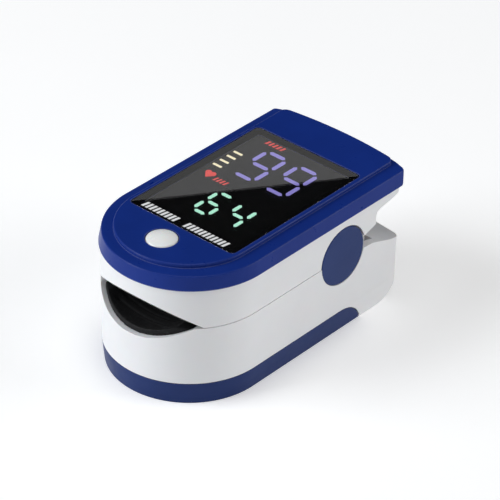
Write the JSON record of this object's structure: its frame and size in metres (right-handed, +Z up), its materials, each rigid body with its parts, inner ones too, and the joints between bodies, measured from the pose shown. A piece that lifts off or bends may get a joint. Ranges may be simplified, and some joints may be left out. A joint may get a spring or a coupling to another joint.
{
  "type": "fingertip pulse oximeter",
  "caption": "Clip-on finger sensor with two sprung jaws, a flat display window, a round push button and a sliding battery door round its base.",
  "frame": {"origin": "middle of the base, on the surface that it stands on", "axes": "+Z up, -Y towards the finger opening and the button, +X to the right when the display is read from that end"},
  "size_m": [0.0348, 0.062, 0.031],
  "materials": {
    "cover_blue": "glossy deep blue moulded ABS",
    "cap_blue": "navy blue moulded ABS",
    "door_blue": "satin navy blue moulded ABS",
    "shell_white": "glossy white moulded ABS",
    "button_white": "polished white ABS",
    "smoked_window": "clear polished panel with a smoked tint",
    "pad_rubber": "soft black silicone",
    "display_black": "matt black display face",
    "board_green": "green solder mask on glass-epoxy board",
    "chip_black": "matt black epoxy",
    "lit_lavender": "lit lavender segments",
    "lit_green": "lit mint green segments",
    "lit_yellow": "lit pale yellow bars",
    "lit_red": "lit red heart",
    "lens_clear": "clear epoxy lens",
    "emitter_body": "cream ceramic and epoxy",
    "steel": "bright steel",
    "spring_steel": "drawn spring wire",
    "nickel": "nickel plate",
    "tan_parts": "ceramic and tinned parts",
    "ribbon_amber": "amber polyimide ribbon",
    "lead_red": "red PVC insulation",
    "cell_sleeve": "printed sleeve with bare metal ends"
  },
  "bodies": {
    "lower_jaw": {"lower_housing": "shell_white", "lower_finger_pad": "pad_rubber", "sensor_board": "board_green", "photodiode": "chip_black", "sensor_lens": "lens_clear", "battery_left": "cell_sleeve", "battery_right": "cell_sleeve", "battery_springs": "spring_steel", "contact_link": "nickel", "contact_positive": "nickel", "contact_negative": "nickel", "hinge_pins": "steel", "hinge_cap_left": "cap_blue", "hinge_cap_right": "cap_blue", "torsion_spring_left": "spring_steel", "torsion_spring_right": "spring_steel", "sensor_ribbon": "ribbon_amber", "battery_leads": "lead_red"},
    "upper_jaw": {"top_cover": "cover_blue", "display_window": "smoked_window", "upper_housing": "shell_white", "upper_finger_pad": "pad_rubber", "main_board": "board_green", "display_module": "display_black", "display_pins": "nickel", "oxygen_digits": "lit_lavender", "pulse_digits": "lit_green", "signal_bars": "lit_yellow", "heart_icon": "lit_red", "power_switch": "steel", "microcontroller": "chip_black", "board_components": "tan_parts", "led_emitter": "emitter_body", "emitter_lens": "lens_clear", "cover_screws": "steel"},
    "button": {"power_button": "button_white", "switch_plunger": "chip_black"},
    "door": {"battery_door": "door_blue"}
  },
  "joints": [
    {"name": "jaw_hinge", "type": "hinge", "parent": "lower_jaw", "child": "upper_jaw", "pos_m": [0, 0.0115, 0.01767], "axis": [-1, 0, 0], "range_deg": [0, 22], "stiffness_Nm_per_rad": 0.2, "springref_deg": -20.05, "deforming": ["torsion_spring_left", "torsion_spring_right", "sensor_ribbon", "battery_leads"]},
    {"name": "button_press", "type": "slide", "parent": "upper_jaw", "child": "button", "axis": [0, 0, -1], "range_m": [0, 0.0004], "stiffness_N_per_m": 3000, "springref_m": -0.0001},
    {"name": "door_slide", "type": "slide", "parent": "lower_jaw", "child": "door", "axis": [0, -1, 0], "range_m": [0, 0.05]}
  ]
}
